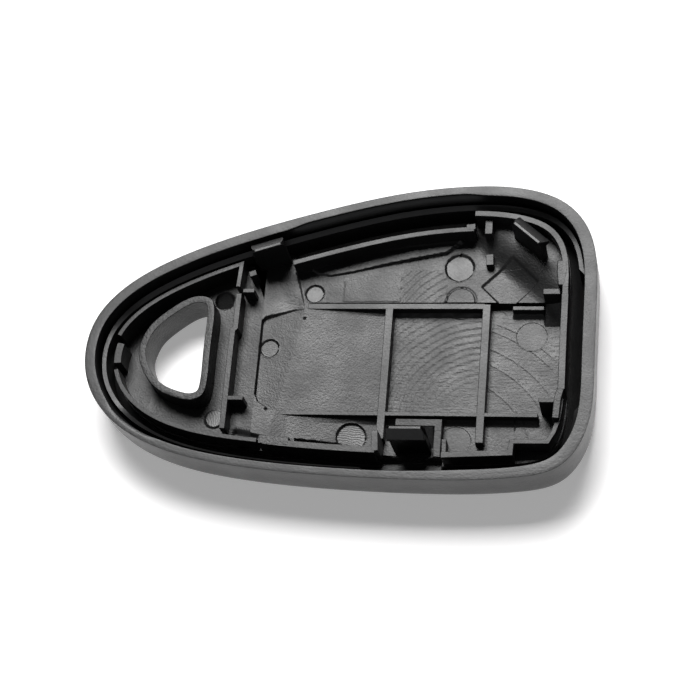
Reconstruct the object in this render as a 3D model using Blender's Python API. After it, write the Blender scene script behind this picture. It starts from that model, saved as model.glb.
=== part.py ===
"""Open half of a car key remote shell: one black moulding, built up here from its named features.

Metres, +Z up. The shell lies on its outer face with its open side up. The origin is in the middle of
the resting face, +X points to the wide end, -X to the nose with the key ring eye, and +Y to the rear
flank. Places in the plan are shares of the shell's length and width, measured from the origin. Places
beside the rim are shares of the way round it, clockwise from the nose.
"""

import math

import bpy
import bmesh
import numpy as np
from mathutils import Matrix

# Outer shell
SHELL_LENGTH = 0.0640
SHELL_WIDTH = 0.0392
SHELL_HEIGHT = 0.0078
RIM_WALL = 0.00135
FLOOR_THICKNESS = 0.0013
LEDGE_RISE = 0.0015
UNDERSIDE_RADIUS = 0.0031
INNER_CORNER_RADIUS = 0.0029
PRY_NOTCH_DEPTH = 0.0003
PRY_NOTCH_WIDTH = 0.0007

# Rail that runs round behind the rim: distance from the rim's outer edge, thickness, drop below the rim
RAIL_INSET = 0.00172
RAIL_WALL = 0.00055
RAIL_DROP = 0.0018

# Locating walls: thickness, how far their tops lie below the rim, and distance from the rim's outer edge
WALL = 0.0006
CORNER_WALL = 0.0008
THICK_WALL = 0.0009
DIVIDER_WALL = 0.00075
WALL_DROP = 0.0022
CORNER_DROP = 0.0014
REAR_NOSE_ROOM = 0.00288
FRONT_NOSE_ROOM = 0.0034
FRONT_ROOM = 0.0044
REAR_ROOM = 0.0049
CORNER_ROOM = 0.0031
END_ROOM = 0.0040
FRONT_END_STEP = 0.0014

# Ribs that carry the circuit board: thickness, and room for the front hook
RIB = 0.0006
UPPER_RIB = 0.0008
CROSS_RIB = 0.00105
CROSS_RIB_ROOM = 0.0065

# Key ring eye
EYE_WALL = 0.0009

# Snap hooks: blade, catching nose, widths, and distance from the rim's outer edge
HOOK_THICKNESS = 0.0009
HOOK_REACH = 0.0006
HOOK_NOSE_HEIGHT = 0.0015
HOOK_LEAD_IN_HEIGHT = 0.0009
HOOK_TIP = 0.0004
HOOK_STAND_OUT = 0.0010
REAR_HOOK_WIDTH = 0.0042
FRONT_HOOK_WIDTH = 0.0046
CORNER_HOOK_WIDTH = 0.0050
REAR_HOOK_ROOM = 0.0032
FRONT_HOOK_ROOM = 0.0060
CORNER_HOOK_ROOM = 0.0060

# Low frame beside the front hook
FRAME_WALL = 0.0010
FRAME_HOOK_GAP = 0.0003
FRAME_END_GAP = 0.0005
FRAME_END_ROOM = 0.0045

# Posts and stops: length, thickness, and distance from the rim's outer edge
STOP_BLOCK_WALL = 0.0011
STOP_BLOCK_ROOM = 0.0036
HOOK_POST_WALL = 0.0008
HOOK_POST_ROOM = 0.0047
DIVIDER_POST_LENGTH = 0.0013
DIVIDER_POST_WALL = 0.0006
REAR_POST_LENGTH = 0.0018
REAR_POST_WALL = 0.0010
END_POST_LENGTH = 0.0018
END_POST_WALL = 0.0008
END_POST_GAP = 0.0006
BRACKET_LENGTH = 0.0017
BRACKET_WALL = 0.0006
BRACKET_ROOM = 0.0050

# Marks left in the floor by the mould's ejector pins
BIG_MARK_RADIUS = 0.00185
SMALL_MARK_RADIUS = 0.0012
MARK_DEPTH = 0.00025

# Air between pieces that would touch, and how far a cutter runs past what it cuts
CLEARANCE = 0.0003
OVERRUN = 0.0020

# How finely round shapes are divided, and the turn at which an edge counts as sharp
RIM_POINTS = 112
EYE_POINTS = 48
ROUND_STEPS = 4
MARK_SIDES = 24
SHARP_TURN = math.radians(30)

OUTLINE_SHARES = [
    (-0.500, -0.062), (-0.485, 0.040), (-0.442, 0.135), (-0.350, 0.238), (-0.208, 0.335),
    (-0.042, 0.418), (0.102, 0.474), (0.244, 0.500), (0.363, 0.486), (0.433, 0.438),
    (0.477, 0.354), (0.496, 0.250), (0.500, 0.100), (0.500, -0.130), (0.497, -0.268),
    (0.481, -0.365), (0.442, -0.448), (0.363, -0.487), (0.186, -0.500), (-0.001, -0.490),
    (-0.201, -0.458), (-0.343, -0.399), (-0.436, -0.306), (-0.487, -0.189),
]
EYE_SHARES = [
    (-0.402, -0.056), (-0.398, -0.015), (-0.387, 0.028), (-0.370, 0.061), (-0.345, 0.096),
    (-0.319, 0.125), (-0.286, 0.139), (-0.265, 0.126), (-0.257, 0.089), (-0.256, 0.018),
    (-0.256, -0.089), (-0.256, -0.166), (-0.263, -0.207), (-0.281, -0.223), (-0.314, -0.217),
    (-0.347, -0.196), (-0.375, -0.158), (-0.394, -0.107),
]

RAIL_WAY_SHARES = (0.556, 1.445)
RAIL_TURN_WAY_SHARE = 0.004
PRY_NOTCH_WAY_SHARES = (0.948, 0.898)
NOSE_WALL_REAR_WAY_SHARES = (0.020, 0.141)
NOSE_WALL_RETURN_SHARE = (-0.214, 0.171)
NOSE_WALL_FRONT_WAY_SHARES = (0.983, 0.826)
FRONT_WALL_WAY_SHARES = (0.821, 0.738)
REAR_WALL_WAY_SHARES = (0.179, 0.322)
CORNER_WALL_WAY_SHARES = (0.323, 0.461)
END_WALL_WAY_SHARES = (0.466, 0.540)

LEDGE_WAY_SHARES = (0, 0.180, 0.186, 0.316, 0.321, 0.461, 0.700, 0.735, 0.826, 0.983, 1)
FRONT_END_WALL_WAY_SHARES = (0.5455, 0.567, 0.579, 0.593, 0.6375, 0.6393, 0.688)
STOP_BLOCK_WAY_SHARES = (-0.0105, 0.0125)
REAR_HOOK_POST_WAY_SHARES = (0.1445, 0.1502)
REAR_CORNER_POST_WAY_SHARE = 0.334
END_CORNER_POST_WAY_SHARE = 0.4625
END_BRACKET_WAY_SHARE = 0.548
REAR_HOOK_WAY_SHARE = 0.165
FRONT_HOOK_WAY_SHARE = 0.7143
CORNER_HOOK_WAY_SHARE = 0.3786

DIVIDER_SHARES = [(-0.2105, 0.148), (-0.2105, 0.028), (-0.2155, 0.018), (-0.2155, 0)]
FRAME_START_X_SHARE = 0.115
UPPER_RIB_X_SHARES = (-0.071, 0.273)
UPPER_RIB_Y_SHARE = 0.134
LOWER_RIB_START_X_SHARE = -0.1135
LOWER_RIB_Y_SHARE = -0.237
BAY_LEFT_X_SHARES = (-0.138, -0.077)
BAY_END_WAY_SHARES = (0.4715, 0.540)
BAY_HOOK_WAY_SHARES = (0.690, 0.735)
BAY_FRONT_WAY_SHARES = (0.740, 0.795)
RAMP_SLOPE = 0.094
CROSS_RIB_X_SHARES = (0.087, 0.280)
CROSS_RIB_END_WAY_SHARES = (0.7375, 0.6634)
SHORT_RIB_X_SHARES = (0.331, 0.3925)
SHORT_RIB_Y_SHARE = 0.128

REAR_DIVIDER_POST_Y_SHARE = 0.158
FRONT_DIVIDER_POST_Y_SHARE = -0.216
BAY_MARK_SHARES = [(0.368, 0.048), (0.231, -0.311)]
RAMP_MARK_SHARE = (0.028, -0.306)
LEDGE_MARK_SHARES = [(0.223, 0.270), (0.228, 0.161)]
SMALL_MARK_SHARES = [(-0.245, -0.260), (-0.248, 0.153), (-0.067, 0.181), (-0.148, -0.013)]

REAR_HOOK_TURN = math.radians(17.6)
FRONT_HOOK_TURN = math.radians(180)
CORNER_HOOK_TURN = math.radians(-41)

WALL_TOP = SHELL_HEIGHT - WALL_DROP
CORNER_TOP = SHELL_HEIGHT - CORNER_DROP
LEDGE = FLOOR_THICKNESS + LEDGE_RISE
BAY_SEAT = FLOOR_THICKNESS + CLEARANCE
LEDGE_SEAT = LEDGE + CLEARANCE
HOOK_TOP = SHELL_HEIGHT + HOOK_STAND_OUT

for old in list(bpy.data.objects):
    bpy.data.objects.remove(old, do_unlink=True)
PARTS = bpy.data.collections.new("car_key_shell")
CUTTERS = bpy.data.collections.new("cutters")
bpy.context.scene.collection.children.link(PARTS)
bpy.context.scene.collection.children.link(CUTTERS)


def plastic(name):
    """Matte black moulded plastic."""
    material = bpy.data.materials.new(name)
    material.use_nodes = True
    shader = material.node_tree.nodes["Principled BSDF"]
    shader.inputs["Base Color"].default_value = (0.045, 0.045, 0.047, 1)
    shader.inputs["Roughness"].default_value = 0.5
    shader.inputs["Metallic"].default_value = 0
    return material


def place(share):
    """A point of the plan from its shares of the length and width."""
    return np.array([share[0] * SHELL_LENGTH, share[1] * SHELL_WIDTH])


def places(shares):
    """Points of the plan from their shares."""
    return np.array([place(share) for share in shares])


def smooth_loop(points, count):
    """Points at even steps along the closed cubic spline through the given points."""
    total = len(points)
    following = np.roll(points, -1, axis=0)
    chords = np.linalg.norm(following - points, axis=1)
    knots = np.concatenate([[0], np.cumsum(chords)])
    before = np.roll(chords, 1)
    system = np.zeros((total, total))
    rows = np.arange(total)
    system[rows, (rows - 1) % total] += before
    system[rows, rows] += 2 * (before + chords)
    system[rows, (rows + 1) % total] += chords
    slopes = (following - points) / chords[:, None]
    bends = np.linalg.solve(system, 6 * (slopes - np.roll(slopes, 1, axis=0)))
    at = np.linspace(0, knots[-1], count, endpoint=False)
    span = np.clip(np.searchsorted(knots, at, side="right") - 1, 0, total - 1)
    after = (span + 1) % total
    width = chords[span][:, None]
    gone = (at - knots[span])[:, None]
    left = width - gone
    curved = (bends[span] * left ** 3 + bends[after] * gone ** 3) / (6 * width)
    return (curved + (points[span] / width - bends[span] * width / 6) * left
            + (points[after] / width - bends[after] * width / 6) * gone)


def inwards(loop):
    """Directions square to a clockwise loop, pointing into it."""
    along = np.roll(loop, -1, axis=0) - np.roll(loop, 1, axis=0)
    along /= np.linalg.norm(along, axis=1)[:, None]
    return np.stack([along[:, 1], -along[:, 0]], axis=1)


def inset_loop(loop, inset):
    """The clockwise loop moved inwards by the inset, square to itself."""
    return loop + inwards(loop) * inset


def rim_outline():
    """Outer edge of the rim, stretched to fill the shell's box exactly."""
    loop = smooth_loop(places(OUTLINE_SHARES), RIM_POINTS)
    low, high = loop.min(axis=0), loop.max(axis=0)
    return (loop - (low + high) / 2) * np.array([SHELL_LENGTH, SHELL_WIDTH]) / (high - low)


RIM = rim_outline()
EYE = smooth_loop(places(EYE_SHARES), EYE_POINTS)


def beside_rim(way_shares, insets):
    """Points beside the rim, each by its share of the way round and its inset."""
    ways = np.array(way_shares) * RIM_POINTS
    whole = np.floor(ways).astype(int)
    part = (ways - whole)[:, None]
    here, after = whole % RIM_POINTS, (whole + 1) % RIM_POINTS
    square = inwards(RIM)
    edge = RIM[here] * (1 - part) + RIM[after] * part
    turned = square[here] * (1 - part) + square[after] * part
    return edge + turned * np.array(insets)[:, None]


def rim_path(way_shares, inset_start, inset_end):
    """Path beside the rim over part of the way round it, at an inset that changes evenly."""
    start, end = way_shares
    steps = max(2, round(abs(end - start) * RIM_POINTS))
    return beside_rim(np.linspace(start, end, steps + 1), np.linspace(inset_start, inset_end, steps + 1))


def wall_outline(path, thickness):
    """Outline of a wall that has the path as its middle line."""
    steps = np.diff(path, axis=0)
    steps /= np.linalg.norm(steps, axis=1)[:, None]
    sides = np.stack([-steps[:, 1], steps[:, 0]], axis=1)
    joins = np.vstack([sides[:1], sides[:-1] + sides[1:], sides[-1:]])
    joins /= np.linalg.norm(joins, axis=1)[:, None]
    lead = np.vstack([sides, sides[-1:]])
    offset = joins * (thickness / 2 / (joins * lead).sum(axis=1))[:, None]
    return np.vstack([path + offset, (path - offset)[::-1]])


def add_part(name, mesh):
    """Puts a mesh into the model as a named piece with its own material."""
    mesh.name = name
    mesh.materials.append(plastic(name + "_plastic"))
    mesh.shade_smooth()
    mesh.set_sharp_from_angle(angle=SHARP_TURN)
    piece = bpy.data.objects.new(name, mesh)
    PARTS.objects.link(piece)
    return piece


def cut(piece, mesh, operation="DIFFERENCE"):
    """Takes a cutter's mesh out of a piece, or joins it to the piece, with an exact Boolean."""
    cutter = bpy.data.objects.new(f"{piece.name}_cutter_{len(piece.modifiers)}", mesh)
    CUTTERS.objects.link(cutter)
    cutter.hide_render = True
    cutter.display_type = "WIRE"
    boolean = piece.modifiers.new(cutter.name, "BOOLEAN")
    boolean.operation = operation
    boolean.solver = "EXACT"
    boolean.object = cutter


def raised(outline, bottom, top):
    """Mesh of a flat outline raised from one height to another."""
    curve = bpy.data.curves.new("outline", "CURVE")
    curve.dimensions = "2D"
    curve.fill_mode = "BOTH"
    curve.extrude = (top - bottom) / 2
    spline = curve.splines.new("POLY")
    spline.points.add(len(outline) - 1)
    for point, (x, y) in zip(spline.points, outline):
        point.co = (x, y, 0, 1)
    spline.use_cyclic_u = True
    guide = bpy.data.objects.new("outline", curve)
    CUTTERS.objects.link(guide)
    guide.location.z = (top + bottom) / 2
    bpy.context.view_layer.update()
    mesh = bpy.data.meshes.new_from_object(guide.evaluated_get(bpy.context.evaluated_depsgraph_get()))
    mesh.transform(guide.matrix_world)
    bpy.data.objects.remove(guide, do_unlink=True)
    shape = bmesh.new()
    shape.from_mesh(mesh)
    bmesh.ops.remove_doubles(shape, verts=shape.verts, dist=CLEARANCE / 100)
    bmesh.ops.recalc_face_normals(shape, faces=shape.faces)
    inside = [edge for edge in shape.edges if all(abs(face.normal.z) > 0.5 for face in edge.link_faces)]
    bmesh.ops.dissolve_edges(shape, edges=inside, use_verts=False)
    shape.to_mesh(mesh)
    shape.free()
    return mesh


def round_level_edges(mesh, height, radius):
    """Rounds the edges of a raised mesh that lie at one height."""
    shape = bmesh.new()
    shape.from_mesh(mesh)
    near = CLEARANCE / 10
    edges = [edge for edge in shape.edges if all(abs(vert.co.z - height) < near for vert in edge.verts)]
    bmesh.ops.bevel(shape, geom=edges, offset=radius, segments=ROUND_STEPS, profile=0.5, affect="EDGES")
    bmesh.ops.remove_doubles(shape, verts=shape.verts, dist=CLEARANCE / 100)
    shape.to_mesh(mesh)
    shape.free()
    return mesh


def disc(centre, radius, bottom, top):
    """Mesh of an upright cylinder."""
    shape = bmesh.new()
    middle = Matrix.Translation((centre[0], centre[1], (bottom + top) / 2))
    bmesh.ops.create_cone(shape, cap_ends=True, segments=MARK_SIDES, radius1=radius, radius2=radius,
                          depth=top - bottom, matrix=middle)
    mesh = bpy.data.meshes.new("disc")
    shape.to_mesh(mesh)
    shape.free()
    return mesh


def wall(name, path, thickness, top, seat=LEDGE_SEAT):
    """Wall that stands on the ledge along a path."""
    return add_part(name, raised(wall_outline(path, thickness), seat, top))


def rib(name, path, thickness, top=LEDGE):
    """Low rib that stands on the floor of the board bay along a path, as high as the ledge round it."""
    return add_part(name, raised(wall_outline(path, thickness), BAY_SEAT, top))


def bay_outlines():
    """Outlines of the bay's level floor, with the slot for the upper rib, and of the ramp at its left."""
    side = THICK_WALL / 2 + CLEARANCE
    slot_x = UPPER_RIB_X_SHARES[0] * SHELL_LENGTH - CLEARANCE
    slot_y = RAMP_EDGE[0, 1] - UPPER_RIB - 2 * CLEARANCE
    end = rim_path(BAY_END_WAY_SHARES, END_ROOM + side, END_ROOM + side)
    end[0, 1] = RAMP_EDGE[0, 1]
    front_end = front_end_path(WALL / 2 + CLEARANCE)[:-1]
    hook = rim_path(BAY_HOOK_WAY_SHARES, END_ROOM + side, END_ROOM + side)
    front = rim_path(BAY_FRONT_WAY_SHARES, FRONT_ROOM + side, FRONT_ROOM + side)
    front[-1] = RAMP_EDGE[1]
    slot = [(RAMP_END_X, front[0, 1]), (RAMP_END_X, slot_y), (slot_x, slot_y), (slot_x, RAMP_EDGE[0, 1])]
    ramp_rear_y, ramp_right_x = RAMP_EDGE[0, 1] - CLEARANCE, RAMP_END_X + CLEARANCE
    ramp_rear = [(RAMP_EDGE[0, 0], ramp_rear_y), (ramp_right_x, ramp_rear_y), (ramp_right_x, front[0, 1])]
    return np.vstack([end, front_end, hook, slot]), np.vstack([ramp_rear, front[1:]])


def ramp_height(spot):
    """Height of the ramp's plane, which falls to the right from the bay's left edge."""
    along = RAMP_EDGE[1] - RAMP_EDGE[0]
    square = np.array([-along[1], along[0]]) / np.linalg.norm(along)
    return LEDGE - RAMP_SLOPE * float((spot - RAMP_EDGE[0]) @ square)


def ramp_cutter(outline):
    """Mesh of the space over the ramp."""
    mesh = raised(outline, FLOOR_THICKNESS, LEDGE_SEAT)
    for vert in mesh.vertices:
        if vert.co.z < LEDGE:
            vert.co.z = ramp_height(np.array(vert.co[:2]))
    return mesh


def ledge_outline():
    """Outline of the raised middle of the floor, just outside the walls that stand on it."""
    rooms = (REAR_NOSE_ROOM, REAR_NOSE_ROOM, REAR_ROOM, REAR_ROOM, CORNER_ROOM, END_ROOM, END_ROOM,
             FRONT_ROOM, FRONT_ROOM, FRONT_NOSE_ROOM, REAR_NOSE_ROOM)
    room = np.interp(np.arange(RIM_POINTS) / RIM_POINTS, LEDGE_WAY_SHARES, rooms) - THICK_WALL / 2
    return inset_loop(RIM, room[:, None])


def build_bottom_shell():
    """Rounded bowl with a raised ledge inside, the sunk bay in the ledge, and the key ring hole."""
    shell = add_part("bottom_shell", round_level_edges(raised(RIM, 0, SHELL_HEIGHT), 0, UNDERSIDE_RADIUS))
    hollow = raised(inset_loop(RIM, RIM_WALL), FLOOR_THICKNESS, SHELL_HEIGHT + OVERRUN)
    cut(shell, round_level_edges(hollow, FLOOR_THICKNESS, INNER_CORNER_RADIUS))
    cut(shell, raised(ledge_outline(), FLOOR_THICKNESS / 2, LEDGE), "UNION")
    floor, ramp = bay_outlines()
    cut(shell, raised(floor, FLOOR_THICKNESS, LEDGE_SEAT))
    cut(shell, ramp_cutter(ramp))
    slot = level_path(LOWER_RIB_START_X_SHARE * SHELL_LENGTH - CLEARANCE, RAMP_END_X + CLEARANCE,
                      LOWER_RIB_Y_SHARE * SHELL_WIDTH)
    cut(shell, raised(wall_outline(slot, RIB + 2 * CLEARANCE), FLOOR_THICKNESS, LEDGE_SEAT))
    cut(shell, raised(inset_loop(EYE, EYE_WALL), -OVERRUN, SHELL_HEIGHT))
    marks = [(share, BIG_MARK_RADIUS, FLOOR_THICKNESS) for share in BAY_MARK_SHARES]
    marks += [(share, BIG_MARK_RADIUS, LEDGE) for share in LEDGE_MARK_SHARES]
    marks += [(share, SMALL_MARK_RADIUS, LEDGE) for share in SMALL_MARK_SHARES]
    marks.append((RAMP_MARK_SHARE, BIG_MARK_RADIUS, ramp_height(place(RAMP_MARK_SHARE))))
    for share, radius, level in marks:
        cut(shell, disc(place(share), radius, level - MARK_DEPTH, level + CLEARANCE))
    notch_inset = RIM_WALL + CLEARANCE - PRY_NOTCH_WIDTH / 2
    notch = wall_outline(rim_path(PRY_NOTCH_WAY_SHARES, notch_inset, notch_inset), PRY_NOTCH_WIDTH)
    cut(shell, raised(notch, SHELL_HEIGHT - PRY_NOTCH_DEPTH, SHELL_HEIGHT + OVERRUN))


def front_end_path(inset):
    """Middle line of the stepped wall at the front end, or the same line moved inwards."""
    insets = np.full(len(FRONT_END_WALL_WAY_SHARES), END_ROOM + inset)
    insets[4] += FRONT_END_STEP
    path = beside_rim(FRONT_END_WALL_WAY_SHARES, insets)
    path[-1, 0] = FRAME_LEG_X + FRAME_WALL / 2 + FRAME_END_GAP
    return path


def build_inner_rail():
    """Thin rail behind the rim, open along the wide end, with both ends turned out to the side wall."""
    inset = RAIL_INSET + RAIL_WALL / 2
    turned_inset = RIM_WALL + CLEARANCE + RAIL_WALL / 4
    start, end = RAIL_WAY_SHARES
    ends = (start - RAIL_TURN_WAY_SHARE, end + RAIL_TURN_WAY_SHARE)
    turned = beside_rim(ends, (turned_inset, turned_inset))
    run = rim_path(RAIL_WAY_SHARES, inset, inset)
    gap = CLEARANCE - RAIL_WALL / 4
    curve = math.sqrt(gap * (2 * INNER_CORNER_RADIUS - gap))
    seat = FLOOR_THICKNESS + INNER_CORNER_RADIUS - curve + CLEARANCE
    wall("inner_rail", np.vstack([turned[:1], run, turned[1:]]), RAIL_WALL, SHELL_HEIGHT - RAIL_DROP, seat)


def build_key_ring_eye():
    """D shaped tube round the key ring hole."""
    eye = add_part("key_ring_eye", raised(EYE, LEDGE_SEAT, WALL_TOP))
    cut(eye, raised(inset_loop(EYE, EYE_WALL), 0, SHELL_HEIGHT))


def build_locating_walls():
    """Walls that seat the other half of the case and hold the board, from the nose round the shell."""
    rear_nose = rim_path(NOSE_WALL_REAR_WAY_SHARES, REAR_NOSE_ROOM, REAR_NOSE_ROOM)
    wall("nose_wall_rear", np.vstack([rear_nose, places([NOSE_WALL_RETURN_SHARE])]), WALL, WALL_TOP)
    wall("nose_wall_front", FRONT_NOSE, WALL, WALL_TOP)
    wall("front_wall", rim_path(FRONT_WALL_WAY_SHARES, FRONT_ROOM, FRONT_ROOM), THICK_WALL, WALL_TOP)
    wall("rear_wall", rim_path(REAR_WALL_WAY_SHARES, REAR_ROOM, REAR_ROOM), WALL, WALL_TOP)
    wall("corner_wall", rim_path(CORNER_WALL_WAY_SHARES, CORNER_ROOM, END_ROOM), CORNER_WALL, CORNER_TOP)
    wall("end_wall", rim_path(END_WALL_WAY_SHARES, END_ROOM, END_ROOM), THICK_WALL, CORNER_TOP)
    wall("divider_wall", DIVIDER, DIVIDER_WALL, WALL_TOP)
    wall("front_end_wall", front_end_path(0), WALL, WALL_TOP)


def level_path(x_start, x_end, y):
    """Straight path along X."""
    return np.array([(x_start, y), (x_end, y)])


def build_board_ribs():
    """Low ribs that the circuit board rests on, and the frame beside the front hook."""
    upper_y = UPPER_RIB_Y_SHARE * SHELL_WIDTH
    lower_y = LOWER_RIB_Y_SHARE * SHELL_WIDTH
    join = CROSS_RIB / 2 + CLEARANCE
    left_x, right_x = (share * SHELL_LENGTH for share in CROSS_RIB_X_SHARES)
    upper_start, upper_end = (share * SHELL_LENGTH for share in UPPER_RIB_X_SHARES)
    short_start, short_end = (share * SHELL_LENGTH for share in SHORT_RIB_X_SHARES)
    lower_start = LOWER_RIB_START_X_SHARE * SHELL_LENGTH
    lower_end = BRACKET[0] - BRACKET_LENGTH - CLEARANCE
    rib("upper_board_rib", level_path(upper_start, upper_end, upper_y), UPPER_RIB)
    rib("short_board_rib", level_path(short_start, short_end, SHORT_RIB_Y_SHARE * SHELL_WIDTH), RIB)
    rib("lower_board_rib_left", level_path(lower_start, left_x - join, lower_y), RIB)
    rib("lower_board_rib_middle", level_path(left_x + join, right_x - join, lower_y), RIB)
    rib("lower_board_rib_right", level_path(right_x + join, lower_end, lower_y), RIB)
    ends = beside_rim(CROSS_RIB_END_WAY_SHARES, (CROSS_RIB_ROOM, CROSS_RIB_ROOM))
    for name, x, end in (("cross_rib_left", left_x, ends[0]), ("cross_rib_right", right_x, ends[1])):
        rib(name, np.array([(x, upper_y - UPPER_RIB / 2 - CLEARANCE), (x, end[1])]), CROSS_RIB)
    bar_y = lower_y - RIB / 2 - CLEARANCE - FRAME_WALL / 2
    leg_end_y = beside_rim(FRONT_END_WALL_WAY_SHARES[-1:], [FRAME_END_ROOM + CLEARANCE])[0, 1]
    frame = [(FRAME_START_X_SHARE * SHELL_LENGTH, bar_y), (FRAME_LEG_X, bar_y), (FRAME_LEG_X, leg_end_y)]
    rib("hook_frame", np.array(frame), FRAME_WALL)


def build_posts():
    """Short posts and stops that locate the parts inside."""
    stop = rim_path(STOP_BLOCK_WAY_SHARES, STOP_BLOCK_ROOM, STOP_BLOCK_ROOM)
    wall("nose_stop_block", stop, STOP_BLOCK_WALL, WALL_TOP)
    hook_post = rim_path(REAR_HOOK_POST_WAY_SHARES, HOOK_POST_ROOM, HOOK_POST_ROOM)
    wall("rear_hook_post", hook_post, HOOK_POST_WALL, WALL_TOP)
    post_start = DIVIDER[0, 0] + DIVIDER_WALL / 2 + CLEARANCE
    post_end = post_start + DIVIDER_POST_LENGTH
    rear_post = level_path(post_start, post_end, REAR_DIVIDER_POST_Y_SHARE * SHELL_WIDTH)
    wall("rear_divider_post", rear_post, DIVIDER_POST_WALL, WALL_TOP)
    front_post = level_path(post_start, post_end, FRONT_DIVIDER_POST_Y_SHARE * SHELL_WIDTH)
    wall("front_divider_post", front_post, DIVIDER_POST_WALL, WALL_TOP)
    rear_inset = CORNER_ROOM + CORNER_WALL / 2 + CLEARANCE
    end_inset = END_ROOM + CORNER_WALL / 2 + END_POST_GAP
    rear, end = beside_rim((REAR_CORNER_POST_WAY_SHARE, END_CORNER_POST_WAY_SHARE), (rear_inset, end_inset))
    wall("rear_corner_post", np.array([rear, rear - (0, REAR_POST_LENGTH)]), REAR_POST_WALL, WALL_TOP)
    wall("end_corner_post", np.array([end, end - (END_POST_LENGTH, 0)]), END_POST_WALL, WALL_TOP)
    rib("end_bracket", np.array([BRACKET, BRACKET - (BRACKET_LENGTH, 0)]), BRACKET_WALL, WALL_TOP)


def hook_profile(rise):
    """Side view of a hook that rises so far above its root axis: distance outwards, then height."""
    half = HOOK_THICKNESS / 2
    turns = np.linspace(0, -math.pi, 4 * ROUND_STEPS + 1)
    foot = half * np.stack([np.cos(turns), np.sin(turns)], axis=1)
    lead_in = rise - HOOK_LEAD_IN_HEIGHT
    under = rise - HOOK_NOSE_HEIGHT
    blade = [(-half, rise), (HOOK_TIP - half, rise), (half + HOOK_REACH, lead_in),
             (half + HOOK_REACH, under), (half, under)]
    return np.vstack([foot, blade])


def build_snap_hooks():
    """Springy hooks that catch the other half of the case; each turns about the axis in its root."""
    upright = Matrix(((0, 0, 1, 0), (1, 0, 0, 0), (0, 1, 0, 0), (0, 0, 0, 1)))
    for name, spot, seat, turn, width in (
            ("rear_snap_hook", REAR_HOOK_PLACE, LEDGE_SEAT, REAR_HOOK_TURN, REAR_HOOK_WIDTH),
            ("front_snap_hook", FRONT_HOOK_PLACE, BAY_SEAT, FRONT_HOOK_TURN, FRONT_HOOK_WIDTH),
            ("corner_snap_hook", CORNER_HOOK_PLACE, LEDGE_SEAT, CORNER_HOOK_TURN, CORNER_HOOK_WIDTH)):
        axis_height = seat + HOOK_THICKNESS / 2
        mesh = raised(hook_profile(HOOK_TOP - axis_height), -width / 2, width / 2)
        mesh.transform(upright)
        hook = add_part(name, mesh)
        hook.location = (*spot, axis_height)
        hook.rotation_euler.z = turn


# Places that more than one piece follows
REAR_HOOK_PLACE, FRONT_HOOK_PLACE, CORNER_HOOK_PLACE = beside_rim(
    (REAR_HOOK_WAY_SHARE, FRONT_HOOK_WAY_SHARE, CORNER_HOOK_WAY_SHARE),
    (REAR_HOOK_ROOM, FRONT_HOOK_ROOM, CORNER_HOOK_ROOM))
FRAME_LEG_X = FRONT_HOOK_PLACE[0] + FRONT_HOOK_WIDTH / 2 + FRAME_HOOK_GAP + FRAME_WALL / 2
FRONT_NOSE = rim_path(NOSE_WALL_FRONT_WAY_SHARES, FRONT_NOSE_ROOM, FRONT_ROOM)
BRACKET = beside_rim([END_BRACKET_WAY_SHARE], [BRACKET_ROOM])[0]
RAMP_END_X = CROSS_RIB_X_SHARES[0] * SHELL_LENGTH - CROSS_RIB / 2 - CLEARANCE
RAMP_EDGE = np.array([
    (BAY_LEFT_X_SHARES[1] * SHELL_LENGTH, UPPER_RIB_Y_SHARE * SHELL_WIDTH + UPPER_RIB / 2 + CLEARANCE),
    (BAY_LEFT_X_SHARES[0] * SHELL_LENGTH,
     beside_rim(BAY_FRONT_WAY_SHARES[1:], [FRONT_ROOM + THICK_WALL / 2 + CLEARANCE])[0, 1])])
DIVIDER = places(DIVIDER_SHARES)
DIVIDER[-1, 1] = np.interp(DIVIDER[-1, 0], FRONT_NOSE[:, 0], FRONT_NOSE[:, 1]) + WALL + CLEARANCE

build_bottom_shell()
build_inner_rail()
build_key_ring_eye()
build_locating_walls()
build_board_ribs()
build_posts()
build_snap_hooks()
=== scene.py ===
import math

import bpy
import numpy as np
from mathutils import Matrix


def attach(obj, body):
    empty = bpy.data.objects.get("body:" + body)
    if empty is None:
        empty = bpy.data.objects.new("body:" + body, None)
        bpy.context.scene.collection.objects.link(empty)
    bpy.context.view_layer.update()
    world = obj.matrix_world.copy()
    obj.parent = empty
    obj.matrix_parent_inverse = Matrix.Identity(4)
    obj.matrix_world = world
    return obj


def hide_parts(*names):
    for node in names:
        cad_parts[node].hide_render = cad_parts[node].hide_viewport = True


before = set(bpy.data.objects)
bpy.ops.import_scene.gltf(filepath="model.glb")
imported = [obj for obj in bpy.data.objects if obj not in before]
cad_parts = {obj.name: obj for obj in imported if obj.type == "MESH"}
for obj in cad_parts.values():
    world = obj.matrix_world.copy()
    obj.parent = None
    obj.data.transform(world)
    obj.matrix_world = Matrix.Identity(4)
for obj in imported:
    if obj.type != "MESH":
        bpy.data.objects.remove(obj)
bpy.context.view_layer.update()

# Bowl of the shell: floor slab, rounded side wall and flat rim, one black moulding.
# The outer edge is a smooth closed curve, and one cross-section is carried all the way round it.
# Every length below is in millimetres until it goes into a mesh.
LENGTH, WIDTH, RIM_TOP, SLAB_TOP = 64.0, 39.2, 7.8, 1.3
RIM_WIDTH, UNDER_ROUND, TRENCH_ROUND = 1.35, 3.1, 2.9
LOOP_STEPS = 448
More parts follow.
